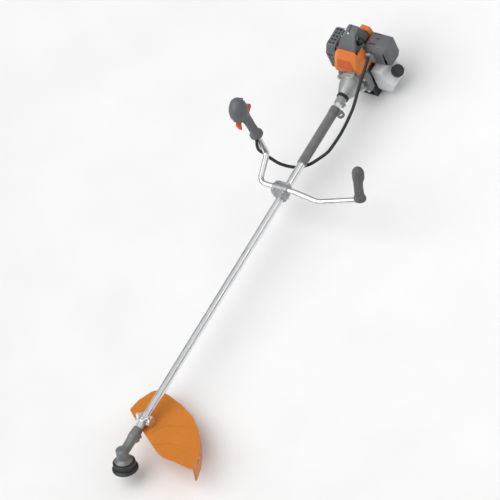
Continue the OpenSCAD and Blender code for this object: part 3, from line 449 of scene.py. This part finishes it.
def at(x, y, z):
    """Metres in the row frame, from mm off the clutch flange and the shaft axis."""
    return Vector((FLANGE_X + x / 1000, y / 1000, AXIS_Z + z / 1000))


def surface_of(name):
    """Ray-cast tree over a CAD node, in the row frame."""
    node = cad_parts[name]
    return BVHTree.FromPolygons(
        [node.matrix_world @ v.co for v in node.data.vertices],
        [list(f.vertices) for f in node.data.polygons],
    )


SEARCH = 0.03  # how far a seat on a surface may lie before or behind the place given for it


def seat_on(surface, place, facing):
    """The point of a surface under a place, or the place itself where there is none."""
    hit = surface.ray_cast(place + facing * SEARCH, -facing, 2 * SEARCH)[0]
    return hit if hit else place


RIM_SHARE = 0.015  # width of a pad's sloping rim, as a share of its side
RIM_DEPTH = 0.0008  # how far the rim's outer edge is sunk under the skin
CORNER_PULL = 0.04  # how far a pad's corners are drawn in towards its middle


def patch(name, surface, corners, finish, body, lift, steps):
    """Moulded pad laid over a surface between four corners, its rim tucked under the skin."""
    a, b, c, d = corners
    facing = (b - a).cross(d - a).normalized()
    middle = (a + b + c + d) / 4
    columns, rows = (
        [0, RIM_SHARE] + [k / n for k in range(1, n)] + [1 - RIM_SHARE, 1] for n in steps
    )
    verts, faces = [], []
    for u in columns:
        for v in rows:
            p = (a * (1 - u) + b * u) * (1 - v) + (d * (1 - u) + c * u) * v
            if min(u, 1 - u) < 0.02 and min(v, 1 - v) < 0.02:
                p = p.lerp(middle, CORNER_PULL)
            rim = u in (0, 1) or v in (0, 1)
            verts.append(seat_on(surface, p, facing) + facing * (-RIM_DEPTH if rim else lift))
    count = len(rows)
    for i in range(len(columns) - 1):
        for j in range(count - 1):
            k = i * count + j
            faces.append((k, k + count, k + count + 1, k + 1))
    return piece(name, verts, faces, finish, body)


SCREW_SIDES = 24
SCREW_SINK = 0.0006  # how far a screw head sits in the cover

# Pan head with a socket: (radius, height) from the seat up and into the socket, in metres
SCREW_PROFILE = [
    (0.0001, 0.0002), (0.0036, 0.0002), (0.0038, 0.0012), (0.0034, 0.0023),
    (0.0024, 0.0030), (0.0018, 0.0031), (0.0016, 0.0016), (0.0001, 0.0015),
]


def lathe(name, profile, centre, axis, finish, body, sides):
    """Turned part from a profile of (radius, height) in metres, closed at both ends."""
    turn = Vector(axis).normalized().to_track_quat("Z", "Y").to_matrix()
    verts = [
        centre + turn @ Vector((r * math.cos(2 * math.pi * k / sides),
                                r * math.sin(2 * math.pi * k / sides), h))
        for r, h in profile for k in range(sides)
    ]
    faces = [
        (i * sides + k, i * sides + (k + 1) % sides,
         (i + 1) * sides + (k + 1) % sides, (i + 1) * sides + k)
        for i in range(len(profile) - 1) for k in range(sides)
    ]
    faces.append(tuple(range(sides))[::-1])
    faces.append(tuple((len(profile) - 1) * sides + k for k in range(sides)))
    return piece(name, verts, faces, finish, body)


def cover_screw(name, surface, place, facing, body):
    """Pan-head screw with a socket, seated on a moulded cover."""
    facing = Vector(facing).normalized()
    seat = seat_on(surface, place, facing) - facing * SCREW_SINK
    return lathe(name, SCREW_PROFILE, seat, facing, "zinc_plate", body, SCREW_SIDES)


CHAMFER = 0.0012


def block(name, outline, low, high, finish, body):
    """Prism with chamfered ends: an outline of (y, z), pushed along X from low to high."""
    count = len(outline)
    middle_y, middle_z = (sum(p[i] for p in outline) / count for i in (0, 1))
    verts = []
    for x, inset in (
        (low, CHAMFER), (low + CHAMFER, 0), (high - CHAMFER, 0), (high, CHAMFER)
    ):
        for y, z in outline:
            dy, dz = middle_y - y, middle_z - z
            size = math.hypot(dy, dz)
            verts.append(Vector((x, y + dy / size * inset, z + dz / size * inset)))
    faces = [tuple(range(count))[::-1], tuple(3 * count + k for k in range(count))]
    for ring in range(3):
        for k in range(count):
            n = (k + 1) % count
            faces.append((ring * count + k, ring * count + n,
                          (ring + 1) * count + n, (ring + 1) * count + k))
    return piece(name, verts, faces, finish, body, smooth=False)


def add_cover_details():
    """Painted shade in the front cover's recess and the top cover's groove (a darker orange pad
    and a black strip), screws and the shroud's tab on the engine covers.
    """
    front = surface_of("front_cover")
    top = surface_of("top_cover")
    # Darker orange pad over the front cover's recess: painted shade where the recess is shaded.
    patch(
        "front_recess_shade", front,
        [at(-12, -48, 50), at(-12, 20, 50), at(-30, 6, 80), at(-30, -46, 80)],
        "painted_shade_orange", "root", 0.0006, (14, 8),
    )
    # Black strip along the top cover's groove: painted shade where the groove is shaded.
    patch(
        "cover_groove_shade", top,
        [at(-88, -14, 160), at(-88, -8, 160), at(-114, -8, 166), at(-114, -14, 166)],
        "black_plastic", "root", 0.0005, (10, 3),
    )
    cover_screw("cover_screw_a", top, at(-84, -11, 156), (0.6, 0, 0.8), "root")
    cover_screw("cover_screw_b", top, at(-104, -40, 140), (0.2, -0.6, 0.8), "root")
    shroud = [
        (-0.012, 0.045), (0.030, 0.045), (0.034, 0.090),
        (0.026, 0.124), (-0.004, 0.126), (-0.014, 0.100),
    ]
    block(
        "shroud_tab", [(y, AXIS_Z + z) for y, z in shroud],
        FLANGE_X - 0.150, FLANGE_X - 0.131, "cover_orange", "root",
    )


def flat_corners(x, y, half_x, half_y, z):
    """Corners of a level rectangle around (x, y), in mm off the flange and the shaft axis."""
    return [
        at(x - half_x, y - half_y, z), at(x + half_x, y - half_y, z),
        at(x + half_x, y + half_y, z), at(x - half_x, y + half_y, z),
    ]


def add_filter_details():
    """Black patches of painted shade in the slots, and a small mark, on top of the air filter's
    cover, which they ride on.
    """
    cover = surface_of("air_filter_cover")
    top = 106
    for k, (x, y, half) in enumerate(((-98, 58, 14), (-123, 68, 6), (-141, 58, 14))):
        # Black patches in the slots: painted shade, the slots' shaded insides painted as colour.
        patch(
            "filter_slot_shade_%d" % k, cover, flat_corners(x, y, 1.8, half, top),
            "black_plastic", "air_cover", 0.0003, (3, 10),
        )
    patch(
        "filter_mark", cover, flat_corners(-113, 50, 4, 4, top),
        "trigger_orange", "air_cover", 0.0005, (5, 5),
    )


ROPE_R = 0.0016
ROPE_BELOW_HANDLE = 0.010
ROPE_IN_HANDLE = 0.006


def add_starter_rope():
    """Rope from the starter's exit to its pull handle; it stretches between the two."""
    low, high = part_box("starter_handle")
    centre = (low + high) / 2
    foot = Vector((centre.x, centre.y, low.z - ROPE_BELOW_HANDLE))
    rings, sides = 24, 10
    length = low.z + ROPE_IN_HANDLE - foot.z
    verts, faces = [], []
    for i in range(rings + 1):
        for k in range(sides):
            a = 2 * math.pi * k / sides
            # Three strands, laid with a twist from ring to ring
            r = ROPE_R * (1 + 0.12 * math.cos(3 * a + i * 0.9))
            verts.append(foot + Vector((r * math.cos(a), r * math.sin(a), length * i / rings)))
    for i in range(rings):
        for k in range(sides):
            n = (k + 1) % sides
            faces.append((i * sides + k, i * sides + n, (i + 1) * sides + n, (i + 1) * sides + k))
    faces.append(tuple(range(sides))[::-1])
    faces.append(tuple(rings * sides + k for k in range(sides)))
    rope = piece("starter_rope", verts, faces, "cable_black", None)
    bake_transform(rope)


add_cover_details()
add_filter_details()
add_starter_rope()


# ---------- Floor and light ----------

FLOOR_SIZE = 14  # metres, far past the view
FLOOR_DROP = 0.0008  # keeps the stand's foot from sharing the floor's plane


def add_floor():
    """Plain pale floor."""
    mesh = bpy.data.meshes.new("floor")
    form = bmesh.new()
    bmesh.ops.create_grid(form, x_segments=8, y_segments=8, size=FLOOR_SIZE)
    form.to_mesh(mesh)
    form.free()
    floor = bpy.data.objects.new("floor", mesh)
    bpy.context.collection.objects.link(floor)
    floor.location.z = -FLOOR_DROP
    f = Finish("studio_floor", 0.7)
    f.base(f.tint(f.noise(3, 3), (0.90, 0.90, 0.90), (0.94, 0.94, 0.94)))
    f.bumps((f.noise(400, 2), 0.00004))
    mesh.materials.append(f.mat)


def add_area(name, place, target, size, power):
    """Square soft light that faces a target."""
    data = bpy.data.lights.new(name, "AREA")
    data.shape = "SQUARE"
    data.size = size
    data.energy = power
    lamp = bpy.data.objects.new(name, data)
    bpy.context.collection.objects.link(lamp)
    lamp.location = place
    lamp.rotation_euler = (Vector(target) - Vector(place)).to_track_quat("-Z", "Y").to_euler()


def add_sun(name, place, strength):
    """Even key light from one side, as soft as a large panel."""
    data = bpy.data.lights.new(name, "SUN")
    data.energy = strength
    data.angle = math.radians(70)
    lamp = bpy.data.objects.new(name, data)
    bpy.context.collection.objects.link(lamp)
    lamp.rotation_euler = (-Vector(place)).to_track_quat("-Z", "Y").to_euler()


def add_world():
    """Even studio surround with a darker band above the horizon, so bare metal shows streaks."""
    world = bpy.data.worlds.new("studio")
    bpy.context.scene.world = world
    world.use_nodes = True
    tree = world.node_tree
    sky = tree.nodes["Background"]
    sky.inputs["Strength"].default_value = 0.62
    coord = tree.nodes.new("ShaderNodeTexCoord")
    parts = tree.nodes.new("ShaderNodeSeparateXYZ")
    ramp = tree.nodes.new("ShaderNodeValToRGB")
    # (height in the sphere from 0 at the bottom to 1 at the top, brightness)
    levels = [(0.0, 0.8), (0.46, 0.5), (0.52, 0.05), (0.66, 0.10), (0.8, 0.95), (1.0, 1.0)]
    elements = ramp.color_ramp.elements
    while len(elements) < len(levels):
        elements.new(0.5)
    for element, (position, level) in zip(elements, levels):
        element.position = position
        element.color = (level, level, level, 1)
    remap = tree.nodes.new("ShaderNodeMapRange")
    remap.inputs["From Min"].default_value = -1
    tree.links.new(coord.outputs["Generated"], parts.inputs[0])
    tree.links.new(parts.outputs["Z"], remap.inputs["Value"])
    tree.links.new(remap.outputs["Result"], ramp.inputs["Fac"])
    tree.links.new(ramp.outputs["Color"], sky.inputs["Color"])


add_floor()
add_sun("key", (1.6, -1.2, 3.2), 1.9)
add_area("fill", (-1.2, 2.4, 2.4), (0.2, 0, 0.15), 1.8, 12)
add_world()
bpy.context.scene.view_settings.view_transform = "Standard"
